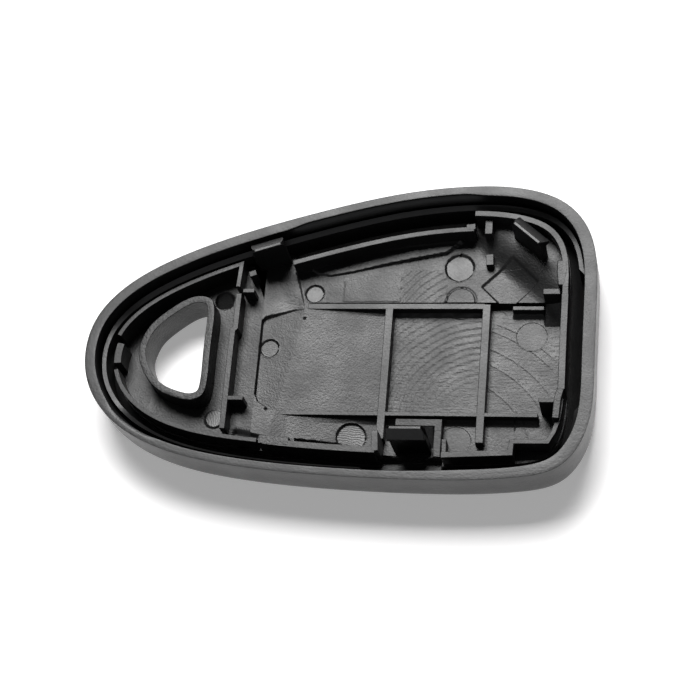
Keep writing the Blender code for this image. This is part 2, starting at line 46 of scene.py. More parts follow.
OUTLINE = np.array([
    (-0.500, -0.062), (-0.485, 0.040), (-0.442, 0.135), (-0.350, 0.238), (-0.208, 0.335),
    (-0.042, 0.418), (0.102, 0.474), (0.244, 0.500), (0.363, 0.486), (0.433, 0.438),
    (0.477, 0.354), (0.496, 0.250), (0.500, 0.100), (0.500, -0.130), (0.497, -0.268),
    (0.481, -0.365), (0.442, -0.448), (0.363, -0.487), (0.186, -0.500), (-0.001, -0.490),
    (-0.201, -0.458), (-0.343, -0.399), (-0.436, -0.306), (-0.487, -0.189)]) * (LENGTH, WIDTH)


def smooth_loop(points, count):
    """Closed cubic spline through the points, with chord lengths as knots, at even knot steps."""
    total = len(points)
    after = np.roll(points, -1, axis=0)
    chord = np.linalg.norm(after - points, axis=1)
    knots = np.concatenate([[0], np.cumsum(chord)])
    before = np.roll(chord, 1)
    rows = np.arange(total)
    system = np.zeros((total, total))
    system[rows, (rows - 1) % total] += before
    system[rows, rows] += 2 * (before + chord)
    system[rows, (rows + 1) % total] += chord
    slope = (after - points) / chord[:, None]
    bend = np.linalg.solve(system, 6 * (slope - np.roll(slope, 1, axis=0)))
    at = np.linspace(0, knots[-1], count, endpoint=False)
    span = np.clip(np.searchsorted(knots, at, side="right") - 1, 0, total - 1)
    end = (span + 1) % total
    width = chord[span][:, None]
    gone = (at - knots[span])[:, None]
    left = width - gone
    return ((bend[span] * left ** 3 + bend[end] * gone ** 3) / (6 * width)
            + (points[span] / width - bend[span] * width / 6) * left
            + (points[end] / width - bend[end] * width / 6) * gone)


def square_to(loop):
    """Unit directions into a clockwise loop: its tangent turned a quarter to the right."""
    along = np.roll(loop, -1, axis=0) - np.roll(loop, 1, axis=0)
    along /= np.linalg.norm(along, axis=1)[:, None]
    return np.stack([along[:, 1], -along[:, 0]], axis=1)


rim = smooth_loop(OUTLINE, LOOP_STEPS)
rim = (rim - (rim.min(0) + rim.max(0)) / 2) * (LENGTH, WIDTH) / (rim.max(0) - rim.min(0))
rim_square = square_to(rim)


def beside_rim(ways, insets):
    """Points beside the rim: share of the way round, clockwise from the nose, and distance inwards."""
    ways = np.asarray(ways, float) * LOOP_STEPS
    whole = np.floor(ways).astype(int)
    part = (ways - whole)[:, None]
    here, there = whole % LOOP_STEPS, (whole + 1) % LOOP_STEPS
    edge = rim[here] * (1 - part) + rim[there] * part
    square = rim_square[here] * (1 - part) + rim_square[there] * part
    return edge + square * np.broadcast_to(insets, len(ways))[:, None]


def rim_run(start, end, inset, inset_end=None):
    """Path beside the rim from one share of the way to another, its inset changing evenly."""
    steps = max(3, round(abs(end - start) * LOOP_STEPS / 2))
    inset_end = inset if inset_end is None else inset_end
    return beside_rim(np.linspace(start, end, steps + 1), np.linspace(inset, inset_end, steps + 1))


def grid_mesh(name, points, close_rows=False, close_columns=False):
    """Mesh of a grid of points, rows by columns, each square joined into one face."""
    rows, columns = points.shape[:2]
    index = np.arange(rows * columns).reshape(rows, columns)
    if close_rows:
        index = np.vstack([index, index[:1]])
    if close_columns:
        index = np.hstack([index, index[:, :1]])
    faces = np.stack([index[:-1, :-1], index[:-1, 1:], index[1:, 1:], index[1:, :-1]], axis=-1).reshape(-1, 4)
    return mesh_of(name, points.reshape(-1, 3), faces)


def mesh_of(name, points, faces):
    """Mesh from points in millimetres and faces of four corners, or of three where two are the same."""
    mesh = bpy.data.meshes.new(name)
    mesh.vertices.add(len(points))
    mesh.vertices.foreach_set("co", (np.asarray(points) * 0.001).astype(np.float32).ravel())
    mesh.loops.add(len(faces) * 4)
    mesh.loops.foreach_set("vertex_index", faces.astype(np.int32).ravel())
    mesh.polygons.add(len(faces))
    mesh.polygons.foreach_set("loop_start", np.arange(len(faces), dtype=np.int32) * 4)
    mesh.update(calc_edges=True)
    mesh.validate()
    return mesh


def shader_group(name, inputs, outputs):
    """Empty node group with float inputs (and one vector) and named float outputs."""
    group = bpy.data.node_groups.new(name, "ShaderNodeTree")
    group.interface.new_socket("Place", in_out="INPUT", socket_type="NodeSocketVector")
    for key, value in inputs.items():
        group.interface.new_socket(key, in_out="INPUT", socket_type="NodeSocketFloat").default_value = value
    for key in outputs:
        group.interface.new_socket(key, in_out="OUTPUT", socket_type="NodeSocketFloat")
    return group, group.nodes.new("NodeGroupInput"), group.nodes.new("NodeGroupOutput")


def worked(tree, operation, first, second=0.0, third=None):
    """Math node in a tree; each value is a number or a socket."""
    node = tree.nodes.new("ShaderNodeMath")
    node.operation = operation
    for socket, value in zip(node.inputs, (first, second, third)):
        if isinstance(value, bpy.types.NodeSocket):
            tree.links.new(value, socket)
        elif value is not None:
            socket.default_value = value
    return node.outputs[0]


def product(tree, *values):
    """Product of two or more numbers or sockets."""
    total = values[0]
    for value in values[1:]:
        total = worked(tree, "MULTIPLY", total, value)
    return total


def mapped(tree, value, start, end, at_start, at_end):
    """A value's place between a start and an end, carried over to between two others, and clamped."""
    node = tree.nodes.new("ShaderNodeMapRange")
    settings = {"From Min": start, "From Max": end, "To Min": at_start, "To Max": at_end}
    for key, setting in settings.items():
        node.inputs[key].default_value = setting
    tree.links.new(value, node.inputs["Value"])
    return node.outputs[0]


def noise(tree, place, scale, detail, stretch=(1, 1, 1)):
    """Noise of a given number of spots per metre, stretched along the axes."""
    mapping = tree.nodes.new("ShaderNodeMapping")
    mapping.inputs["Scale"].default_value = stretch
    tree.links.new(place, mapping.inputs["Vector"])
    node = tree.nodes.new("ShaderNodeTexNoise")
    node.inputs["Scale"].default_value = scale
    node.inputs["Detail"].default_value = detail
    tree.links.new(mapping.outputs[0], node.inputs["Vector"])
    return node.outputs["Fac"]


def build_skin_group():
    """Moulded skin: fine pimples of the mould's surface, with a slow cloudiness of gloss and tone."""
    group, given, out = shader_group("moulded_skin", {"Pimples": 1.0, "Cloud": 1.0},
                                     ("Tone", "Gloss", "Height"))
    place = given.outputs["Place"]
    pimples = noise(group, place, 4200, 2)
    coarse = noise(group, place, 1700, 2)
    cloud = noise(group, place, 260, 3)
    height = worked(group, "ADD", product(group, pimples, 0.7), product(group, coarse, 0.5))
    group.links.new(product(group, height, given.outputs["Pimples"]), out.inputs["Height"])
    tone = worked(group, "ADD", product(group, cloud, 0.6), product(group, coarse, 0.4))
    centred = worked(group, "SUBTRACT", tone, 0.5)
    group.links.new(worked(group, "MULTIPLY_ADD", centred, given.outputs["Cloud"], 0.5), out.inputs["Tone"])
    gloss = worked(group, "ADD", product(group, cloud, 0.7), product(group, pimples, 0.3))
    group.links.new(gloss, out.inputs["Gloss"])
    return group


skin_group = build_skin_group()


def skin_height(tree, skin):
    """Height of the plain moulded skin, with no tool marks and nothing polished."""
    return skin.outputs["Height"], 0.0


DARK_TONE, PALE_TONE = (0.003, 0.003, 0.0031, 1), (0.011, 0.011, 0.0113, 1)
GRAIN_DEPTH, POLISH = 2.4e-5, 0.07


def black_plastic(name, pimples=1.0, cloud=1.0, gloss=(0.40, 0.54), height=skin_height):
    """Matte black moulded plastic. Gloss is the span of its roughness, and height gives the grain and
    the polished spots, which are less rough."""
    material = bpy.data.materials.new(name)
    material.use_nodes = True
    tree = material.node_tree
    shader = tree.nodes["Principled BSDF"]
    shader.inputs["IOR"].default_value = 1.5
    skin = tree.nodes.new("ShaderNodeGroup")
    skin.node_tree = skin_group
    skin.inputs["Pimples"].default_value = pimples
    skin.inputs["Cloud"].default_value = cloud
    tree.links.new(tree.nodes.new("ShaderNodeTexCoord").outputs["Object"], skin.inputs["Place"])
    tone = tree.nodes.new("ShaderNodeValToRGB")
    for element, position, colour in zip(tone.color_ramp.elements, (0.25, 0.75), (DARK_TONE, PALE_TONE)):
        element.position, element.color = position, colour
    tree.links.new(skin.outputs["Tone"], tone.inputs["Fac"])
    tree.links.new(tone.outputs["Color"], shader.inputs["Base Color"])
    grain, polished = height(tree, skin)
    rough = mapped(tree, skin.outputs["Gloss"], 0.3, 0.7, *gloss)
    smoother = product(tree, polished, POLISH)
    tree.links.new(worked(tree, "SUBTRACT", rough, smoother), shader.inputs["Roughness"])
    bump = tree.nodes.new("ShaderNodeBump")
    bump.inputs["Strength"].default_value = 1.0
    bump.inputs["Distance"].default_value = GRAIN_DEPTH
    tree.links.new(grain, bump.inputs["Height"])
    tree.links.new(bump.outputs[0], shader.inputs["Normal"])
    return material


rim_plastic = black_plastic("rim_plastic", pimples=1.3, gloss=(0.40, 0.50))


def add_piece(name, mesh, material, body="shell", stands_for=(), round_edges=0.0, sharp=35):
    """Puts a mesh into the scene: smooth shading, rounded edges, its plastic and its body."""
    mesh.materials.append(material)
    mesh.shade_smooth()
    piece = bpy.data.objects.new(name, mesh)
    bpy.context.scene.collection.objects.link(piece)
    if round_edges:
        bevel = piece.modifiers.new("rounded_edges", "BEVEL")
        bevel.width = round_edges * 0.001
        bevel.segments = 3
        bevel.limit_method = "ANGLE"
        bevel.angle_limit = math.radians(sharp)
        bevel.harden_normals = True
    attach(piece, body)
    if stands_for:
        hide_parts(*stands_for)
    return piece


EYE = np.array([
    (-0.402, -0.056), (-0.398, -0.015), (-0.387, 0.028), (-0.370, 0.061), (-0.345, 0.096),
    (-0.319, 0.125), (-0.286, 0.139), (-0.265, 0.126), (-0.257, 0.089), (-0.256, 0.018),
    (-0.256, -0.089), (-0.256, -0.166), (-0.263, -0.207), (-0.281, -0.223), (-0.314, -0.217),
    (-0.347, -0.196), (-0.375, -0.158), (-0.394, -0.107)]) * (LENGTH, WIDTH)
EYE_CENTRE = np.array([-21.0, -1.7])
eye = smooth_loop(EYE, 144)
eye_square = square_to(eye)


def eye_at(angles, inset):
    """Points of the eye's loop, moved inwards by the inset, at given angles round the eye's centre."""
    loop = eye + eye_square * inset - EYE_CENTRE
    turn = np.arctan2(loop[:, 1], loop[:, 0])
    order = np.argsort(turn)
    turn, far = turn[order], np.hypot(loop[:, 0], loop[:, 1])[order]
    reach = np.interp(angles, turn, far, period=2 * math.pi)
    return EYE_CENTRE + reach[:, None] * np.stack([np.cos(angles), np.sin(angles)], axis=1)


def rise(x, start, end):
    """Smooth step from 0 at the start to 1 at the end: 3t squared less 2t cubed."""
    t = np.clip((x - start) / (end - start), 0, 1)
    return t * t * (3 - 2 * t)


def rounded_edges(width, top, outer, inner):
    """Outer and inner edge of a flat top, each a quarter circle, as rows of inset and height."""
    turn = np.linspace(0, math.pi / 2, 5)
    return (np.stack([outer - outer * np.cos(turn), top - outer + outer * np.sin(turn)], axis=1),
            np.stack([width - inner + inner * np.sin(turn), top - inner + inner * np.cos(turn)], axis=1))


STEP_OUT, FRONT_SWELL, END_SWELL, NOTCH_OUT, NOTCH_DROP = 0.30, 0.32, 0.22, 0.10, 0.05


def rim_changes():
    """How much the rim's inner edge moves out, all round: a step behind the rear wall's end, slow swells
    along the flanks, and a shallow notch near the nose. Each is one soft step up and one down."""
    way = np.arange(LOOP_STEPS) / LOOP_STEPS
    step = STEP_OUT * rise(way, 0.18, 0.20) * (1 - rise(way, 0.315, 0.335))
    front_swell = FRONT_SWELL * rise(way, 0.66, 0.74) * (1 - rise(way, 0.93, 0.97))
    end_swell = END_SWELL * rise(way, 0.36, 0.43) * (1 - rise(way, 0.58, 0.65))
    notch = rise(way, 0.893, 0.906) * (1 - rise(way, 0.940, 0.953))
    return step, front_swell - end_swell, notch


# Straight stretches of the cross-section: insets on the flat rim, and heights on its two sides.
FLAT_INSETS, SIDE_HEIGHTS, INSIDE_HEIGHTS = (0.45, 0.8), (4.4, 6.6), (7.35, 7.3, 5.2)
RIM_ROUND_OUT, RIM_ROUND_IN, HOLE_INSET_BELOW, HOLE_INSET_ABOVE = 0.04, 0.08, 0.35, 0.5


def bowl_points():
    """Rows round the cross-section, columns round the rim. Each row is an inset from the outer edge and
    a height: a quarter circle below, a straight side wall, a flat rim with rounded edges, the inner side,
    and a quarter circle down to the slab, which runs in to the key ring hole."""
    quarter = np.linspace(0, math.pi / 2, 11)
    under = UNDER_ROUND * np.stack([1 - np.sin(quarter), 1 - np.cos(quarter)], axis=1)
    side = [(0.0, up) for up in SIDE_HEIGHTS]
    outer, inner = rounded_edges(RIM_WIDTH, RIM_TOP, RIM_ROUND_OUT, RIM_ROUND_IN)
    flat = [(across, RIM_TOP) for across in FLAT_INSETS]
    inside = [(RIM_WIDTH, up) for up in INSIDE_HEIGHTS]
    trench_inset = RIM_WIDTH + TRENCH_ROUND * (1 - np.cos(quarter))
    trench_height = SLAB_TOP + TRENCH_ROUND * (1 - np.sin(quarter))
    trench = np.stack([trench_inset, trench_height], axis=1)
    rows = np.vstack([under, side, outer, flat, inner, inside, trench])
    inset = np.repeat(rows[:, :1], LOOP_STEPS, axis=1)
    height = np.repeat(rows[:, 1:], LOOP_STEPS, axis=1)
    first = len(under) + len(side) + len(outer) + len(flat)
    last = first + len(inner)
    step, swell, notch = rim_changes()
    inset[first:last + 1] -= step + NOTCH_OUT * notch
    inset[first:last + 2] -= swell
    height[first:last] -= NOTCH_DROP * notch
    ring = rim[None] + rim_square[None] * inset[..., None]
    body = np.concatenate([ring, height[..., None]], axis=-1)
    low_edge, slab_edge = body[0, :, :2], body[-1, :, :2]
    low_hole = eye_at(np.arctan2(*(low_edge - EYE_CENTRE).T[::-1]), HOLE_INSET_BELOW)
    slab_hole = eye_at(np.arctan2(*(slab_edge - EYE_CENTRE).T[::-1]), HOLE_INSET_ABOVE)
    share = np.linspace(0, 1, 7)[:, None, None]
    below = low_hole * (1 - share[:-1]) + low_edge * share[:-1]
    below = np.concatenate([below, np.zeros(below.shape[:2] + (1,))], axis=-1)
    slab = slab_edge * (1 - share[1:]) + slab_hole * share[1:]
    slab = np.concatenate([slab, np.full(slab.shape[:2] + (1,), SLAB_TOP)], axis=-1)
    return np.concatenate([below, body, slab])


bowl = grid_mesh("shell_bowl", bowl_points(), close_rows=True, close_columns=True)
bowl.flip_normals()
add_piece("shell_bowl", bowl, rim_plastic, stands_for=["bottom_shell"])


# Floor inside the shell, the same moulding: a raised ledge with a sunk bay for the circuit board, a
# ramp at the bay's left end, and the low pads and round pin marks that the mould leaves. It is four
# sheets, each ruled between two curves, with one height function for all of them.
LEDGE, BAY = 2.78, 1.32
BAY_FRONT = np.array([
    (-8.83, -13.78), (-2.47, -13.89), (-0.92, -13.99), (0.63, -14.09), (2.19, -14.17), (3.75, -14.24),
    (5.31, -14.3), (6.15, -14.73), (7.68, -14.77), (9.2, -14.81), (10.73, -14.83), (12.24, -14.85),
    (13.74, -14.85), (22.03, -14.59), (22.15, -13.17), (26.07, -13.29), (26.68, -12.18),
    (27.05, -10.9), (27.26, -8.06)])
BAY_REAR_Y, BAY_END_X, NOSE_STEP_X = 5.68, 27.26, -10.72
RAMP_EDGE = np.array([(-4.93, 5.95), (-8.83, -13.78)])
RAMP_SLOPE, RAMP_END_X = 0.094, 5.6


def read_off(table, at):
    """Value of a table of (place, value) rows at given places, straight between its rows."""
    return np.interp(at, table[:, 0], table[:, 1])


def band(value, low, high, soft=0.06):
    """1 between two values and 0 outside, with soft edges."""
    return rise(value, low - soft, low + soft) * (1 - rise(value, high - soft, high + soft))


def bay_share(x, y):
    """1 in the bay and 0 outside it: the product of soft steps at its front, its rear and its end."""
    front = read_off(BAY_FRONT, x)
    return (rise(y, front - 0.02, front + 0.10) * (1 - rise(y, BAY_REAR_Y - 0.05, BAY_REAR_Y + 0.05))
            * (1 - rise(x, BAY_END_X - 0.05, BAY_END_X + 0.05)))


def bay_depth(x, y):
    """Depth of the bay: on the ramp, the distance from its edge times its slope, and level after it."""
    along = RAMP_EDGE[1] - RAMP_EDGE[0]
    square = np.array([-along[1], along[0]]) / np.hypot(*along)
    down = RAMP_SLOPE * ((x - RAMP_EDGE[0, 0]) * square[0] + (y - RAMP_EDGE[0, 1]) * square[1])
    return np.where(x < RAMP_END_X, np.clip(down, 0, None), LEDGE - BAY)


# Each fillet: the rib's two ends, the y of its front side, and the fillet's reach and height.
FILLETS = ((21.2, 25.1, 4.72, 0.62, 0.42), (25.15, 27.3, 5.60, 2.5, 1.1), (-6.0, 17.6, -9.59, 0.75, 0.42),
           (18.3, 24.95, -9.59, 0.75, 0.42), (7.87, 12.27, -10.90, 2.3, 1.35),
           (-4.6, 17.3, 4.85, 0.55, 0.35))


def rib_fillets(x, y):
    """Height of the fillets at the front sides of the ribs and the frame. Each falls evenly over its
    reach, and shrinks with the square of the bay's depth on the ramp."""
    height = np.zeros_like(x)
    deep = np.clip(bay_depth(x, y) / (LEDGE - BAY), 0, 1) ** 2
    for west, east, side, reach, tall in FILLETS:
        fall = np.clip(1 - (side - y) / reach, 0, 1) * (y < side + 0.3)
        height += deep * tall * fall * band(x, west, east)
    return height


POCKET_REAR = np.array([(-10.75, 3.0), (-10.3, 3.6), (-6.5, 4.7), (-4.5, 4.86)])
POCKET_FRONT = np.array([(-10.75, -6.8), (-10.3, -7.8), (-9.0, -8.7), (-8.0, -8.99)])
POCKET_DROP, STRIP_RISE, SLOPE_END_X = 0.20, 0.42, -6.3


def pocket_height(x, y):
    """Height round the pocket at the bay's left end: the strip left of it stands higher, slopes on both
    sides lead down from the strip, and the pocket itself is sunk."""
    slope = np.clip((x - SLOPE_END_X) / (NOSE_STEP_X - SLOPE_END_X), 0, 1)
    rear, front = read_off(POCKET_REAR, x), read_off(POCKET_FRONT, x)
    outside = np.maximum(rise(y, rear - 0.02, rear + 0.08), 1 - rise(y, front - 0.08, front + 0.02))
    strip = 1 - rise(x, NOSE_STEP_X - 0.06, NOSE_STEP_X + 0.04)
    sunk = (1 - strip) * (1 - rise(x, -10.6, -4.4)) * (1 - outside)
    return STRIP_RISE * np.maximum(strip, slope * outside) - POCKET_DROP * sunk


NOSE_DROP, NOSE_TIP, CORNER_RISE = 0.80, 0.07, 1.45
WALL_INSIDE = np.array([(-12.9, -11.69), (-9.0, -12.45), (-5.9, -12.49), (0.36, -12.91), (1.35, -13.2)])
CORNER_WAY, CORNER_FOOT, CORNER_BEND, CORNER_SPAN = (0.656, 0.755), 20.1, 0.22, (15.5, 18.5)
WEDGE_DROP, WEDGE_SPAN, GROOVE_TOP, GROOVE_SPAN = 0.5, (-12.9, -8.9), 1.28, (-5.15, 1.35)
GAP_TOP, GAP_SPAN, RIDGE_Y, RIDGE_RISE = 1.25, (5.95, 13.45), -14.9, 1.3


def floor_height(x, y):
    """Height of the floor: the ledge, less the bay's depth, plus the fillets and the ground round the
    pocket. The nose floor lies lower and is tipped at its end, a rounded slope climbs to the corner hook,
    a wedge and a groove run inside the front wall, and a low ridge closes the gap under the front hook."""
    height = LEDGE + bay_share(x, y) * (rib_fillets(x, y) - bay_depth(x, y)) + pocket_height(x, y)
    divider_x = np.where(y > 0.9, -13.5, -13.8)
    height -= NOSE_DROP * (1 - rise(x - divider_x, -0.06, 0.06))
    height -= NOSE_TIP * (y + 4.5) * (1 - rise(x, -24.5, -22.5))
    corner = np.clip(CORNER_WAY[0] * x + CORNER_WAY[1] * y - CORNER_FOOT, 0, None)
    height += CORNER_RISE * (1 - np.exp(-CORNER_BEND * corner ** 2 / CORNER_RISE)) * rise(x, *CORNER_SPAN)
    outwards = read_off(WALL_INSIDE, x) - y
    beside = 1 - rise(outwards, 1.0, 1.2)
    height -= WEDGE_DROP * band(x, *WEDGE_SPAN) * rise(outwards, 0.0, 0.45) * beside
    groove = band(x, *GROOVE_SPAN) * rise(outwards, 0.0, 0.26) * beside
    height += groove * np.minimum(0, GROOVE_TOP - height)
    gap = band(x, *GAP_SPAN) * (1 - rise(y, -14.86, -14.76))
    ridge = GAP_TOP + RIDGE_RISE * np.exp(-((y - RIDGE_Y) / 0.14) ** 2)
    return height * (1 - gap) + ridge * gap


# Ejector pins, by the sheet they mark: centre, kind, tilt of the face to the rear and to the nose, and
# the turn and depth of the ground lines on it. A kind is the radius, dip, lip and radius of the lines.
BIG_PIN, SMALL_PIN, RAISED_PIN = (1.85, 0.30, 0.04, 1.75), (1.22, 0.22, 0.03, 1.15), (1.22, -0.16, 0.0, 1.15)
PINS = {
    "bay": (((23.6, 1.75), BIG_PIN, (0.03, 0.05), (55, 0.16)),
            ((-9.5, -0.5), SMALL_PIN, (0.045, 0.0), (0, 0.16)),
            ((1.8, -12.1), BIG_PIN, (0.035, 0.0), (4, 0.24)),
            ((14.8, -12.3), BIG_PIN, (0.03, 0.04), (8, 0.24))),
    "rear": (((14.2, 10.6), BIG_PIN, (0.0, 0.0), (40, 0.03)),
             ((-4.25, 7.0), SMALL_PIN, (0.045, 0.0), (0, 0.04))),
    "nose": (((-15.75, -10.15), RAISED_PIN, (0.05, 0.0), (75, 0.12)),)}


def pin_mark(x, y, centre, radius, depth, lip=0.0, tilt=(0.0, 0.0)):
    """Height of a round mark: a dip inside the radius, tilted to the rear and to the nose, and a lip on
    its edge, a Gaussian of the distance from it."""
    east, north = x - centre[0], y - centre[1]
    far = np.hypot(east, north)
    dip = depth + tilt[0] * north - tilt[1] * east
    edge = np.exp(-((far - radius - 0.05) / 0.07) ** 2)
    return lip * edge - dip * (1 - rise(far, radius - 0.08, radius + 0.04))


CRESCENT_REAR = np.array([(-5, 10.5), (0, 12.1), (5, 13.2), (10, 13.8), (14.5, 14.2)])
CRESCENT_FRONT = np.array([
    (-4.9, 10.3), (-4, 9.7), (-2.3, 9.4), (0, 9.8), (5, 11), (10, 12), (12.5, 12.5), (14.5, 14.2)])
CRESCENT_RISE = np.array([(-5, 0.26), (1, 0.34), (8, 0.58), (14, 0.62)])
STRIP_EDGE = np.array([(3.88, -5.09), (7.54, -6.11), (10.12, -6.86), (10.6, -6.95)])
CRESCENT_SPAN, CRESCENT_LIP, STRIP_EDGE_RISE = (-4.9, 14.4), 0.10, 0.18
PLATE_SPAN, PLATE_FRONT_Y, PLATE_RISE = (-0.45, 6.8), 5.9, 0.035
PAD_CORNER, PAD_WIDTH, PAD_LENGTH, PAD_DROP, COS_45 = (17.1, 8.0), 4.8, 5.35, 0.24, 0.707
PIT_CENTRE, PIT_RADIUS, PIT_DIP, PIT_TILT = (-16.1, 6.15), 1.22, 0.75, (-0.5, 0.0)
DOT_CENTRES, DOT_RADIUS, DOT_DIP = ((-5.3, 3.6), (-9.1, -8.95)), 0.16, 0.25
RAISED_CENTRE, RAISED_RISE, RAISED_GROOVE = (14.6, 5.9), 0.06, 0.1
ARC_CENTRE, ARC_REACHES, ARC_RISE = (12.0, -16.0), (20.7, 19.6, 17.3, 15.4, 12.6), 0.032
ARC_WEST_X, ARC_REAR_Y, LINE_WIDTH = 18.6, 3.4, 0.09


def floor_marks(x, y):
    """Height of the low marks: the crescent, the strip left of it, a thin plate, the square pad, the pin
    marks, one dark tilted pit, two small dots, a raised round mark, and the arcs in the right bay."""
    height = np.zeros_like(x)
    rear, front = read_off(CRESCENT_REAR, x), read_off(CRESCENT_FRONT, x)
    crescent = read_off(CRESCENT_RISE, x) * rise(y, front, front + 0.1)
    crescent += CRESCENT_LIP * rise(y, rear - 0.4, rear)
    height += crescent * band(x, *CRESCENT_SPAN)
    left = x - read_off(STRIP_EDGE, y)
    strip = STRIP_EDGE_RISE * (1 - rise(left, -0.05, 0.05)) * (1 - rise(-left, 0.3, 2.8))
    height += strip * rise(y, 3.9, 7.0)
    height += PLATE_RISE * band(x, *PLATE_SPAN) * band(y, PLATE_FRONT_Y, 8.8 + (x + 0.5) * 0.16)
    east, north = x - PAD_CORNER[0], y - PAD_CORNER[1]
    across, along = (east - north) * COS_45, (east + north) * COS_45
    height -= PAD_DROP * band(across, 0.05, PAD_WIDTH) * band(along, 0.0, PAD_LENGTH) * (y > 4.5)
    for centre, (radius, dip, lip, _), tilt, _ in PINS["bay"] + PINS["rear"] + PINS["nose"]:
        height += pin_mark(x, y, centre, radius, dip, lip, tilt)
    height += pin_mark(x, y, PIT_CENTRE, PIT_RADIUS, PIT_DIP, tilt=PIT_TILT)
    for centre in DOT_CENTRES:
        height += pin_mark(x, y, centre, DOT_RADIUS, DOT_DIP)
    raised = np.hypot(x - RAISED_CENTRE[0], y - RAISED_CENTRE[1])
    ring = RAISED_GROOVE * np.exp(-((raised - 1.9) / LINE_WIDTH) ** 2) * (y > 5.7)
    height += RAISED_RISE * (1 - rise(raised, 1.75, 1.85)) - ring
    swing = np.hypot(x - ARC_CENTRE[0], y - ARC_CENTRE[1])
    for reach in ARC_REACHES:
        line = ARC_RISE * np.exp(-((swing - reach) / LINE_WIDTH) ** 2)
        height += line * (x > ARC_WEST_X) * (y < ARC_REAR_Y)
    return height


LEDGE_INSET = np.array([
    (0, 2.43), (0.180, 2.43), (0.186, 4.45), (0.316, 4.45), (0.321, 2.65), (0.461, 3.55), (0.700, 3.55),
    (0.735, 3.95), (0.826, 3.95), (0.983, 2.95), (1, 2.43)])


def ledge_edge(way):
    """Outer edge of the ledge beside the rim, just outside the walls that stand on it."""
    return beside_rim(way, read_off(LEDGE_INSET, np.mod(way, 1)))


def floor_sheet(name, inner, outer, rows, material, closed=False, bottom=0.9):
    """Sheet ruled between two curves and raised to the floor's height, closed below by a flat slab."""
    share = np.linspace(0, 1, rows)[:, None, None]
    plan = inner[None] * (1 - share) + outer[None] * share
    x, y = plan[..., 0], plan[..., 1]
    top = np.stack([x, y, floor_height(x, y) + floor_marks(x, y)], axis=-1)
    below = top[::-1][[0, -1]].copy()
    below[..., 2] = bottom
    points = np.concatenate([top, below])
    if not closed:
        ends = points[:, [0, -1]].copy()
        ends[..., 2] = bottom
        points = np.concatenate([ends[:, :1], points, ends[:, 1:]], axis=1)
    mesh = grid_mesh(name, points, close_rows=True, close_columns=closed)
    piece = add_piece(name, mesh, material)
    mesh.set_sharp_from_angle(angle=math.radians(60))
    return piece


def place_about(group, given):
    """East and north of a group's own centre, and the distance from it."""
    split = group.nodes.new("ShaderNodeSeparateXYZ")
    group.links.new(given.outputs["Place"], split.inputs[0])
    east = worked(group, "SUBTRACT", split.outputs["X"], given.outputs["East"])
    north = worked(group, "SUBTRACT", split.outputs["Y"], given.outputs["North"])
    squares = worked(group, "ADD", product(group, east, east), product(group, north, north))
    return east, north, worked(group, "SQRT", squares)


def build_cutter_group():
    """Marks of the cutter in the mould: arcs about one centre, a sine of the distance from it that grows
    with that distance, and fine scratches, noise drawn out along X."""
    group, given, out = shader_group("cutter_marks", {"East": 0.018, "North": -0.010, "Spacing": 0.00088},
                                     ("Arcs", "Scratches"))
    far = place_about(group, given)[2]
    uneven = product(group, noise(group, given.outputs["Place"], 300, 2), 0.0006)
    turns = worked(group, "DIVIDE", worked(group, "ADD", far, uneven), given.outputs["Spacing"])
    waves = worked(group, "SINE", product(group, turns, 2 * math.pi))
    growth = worked(group, "MINIMUM", product(group, far, 100.0), 1.0)
    group.links.new(product(group, waves, growth, growth), out.inputs["Arcs"])
    scratches = noise(group, given.outputs["Place"], 3400, 3, stretch=(0.22, 1, 1))
    group.links.new(scratches, out.inputs["Scratches"])
    return group


cutter_group = build_cutter_group()


def build_pin_group():
    """Face of one ejector pin: a round mask about a centre, and fine uneven ground lines inside it."""
    group, given, out = shader_group(
        "pin_face", {"East": 0.0, "North": 0.0, "Reach": 0.0018, "Turn": 0.0, "Depth": 0.2},
        ("Mask", "Lines"))
    east, north, far = place_about(group, given)
    mask = worked(group, "LESS_THAN", far, given.outputs["Reach"])
    turn = given.outputs["Turn"]
    across = worked(group, "ADD", product(group, east, worked(group, "SINE", turn)),
                    product(group, north, worked(group, "COSINE", turn)))
    uneven = product(group, noise(group, given.outputs["Place"], 900, 3), 0.0009)
    turns = worked(group, "DIVIDE", worked(group, "ADD", across, uneven), 0.00030)
    waves = worked(group, "SINE", product(group, turns, 2 * math.pi))
    group.links.new(mask, out.inputs["Mask"])
    group.links.new(product(group, waves, mask, given.outputs["Depth"]), out.inputs["Lines"])
    return group


pin_group = build_pin_group()


def pin_faces(tree, place, pins):
    """Sum of the masks and of the lines of several pins."""
    masks, lines = 0.0, 0.0
    for centre, (_, _, _, reach), _, (turn, depth) in pins:
        face = tree.nodes.new("ShaderNodeGroup")
        face.node_tree = pin_group
        face.inputs["East"].default_value = centre[0] * 0.001
        face.inputs["North"].default_value = centre[1] * 0.001
        face.inputs["Reach"].default_value = reach * 0.001
        face.inputs["Turn"].default_value = math.radians(turn)
        face.inputs["Depth"].default_value = depth
        tree.links.new(place, face.inputs["Place"])
        masks = worked(tree, "ADD", face.outputs["Mask"], masks)
        lines = worked(tree, "ADD", face.outputs["Lines"], lines)
    return masks, lines


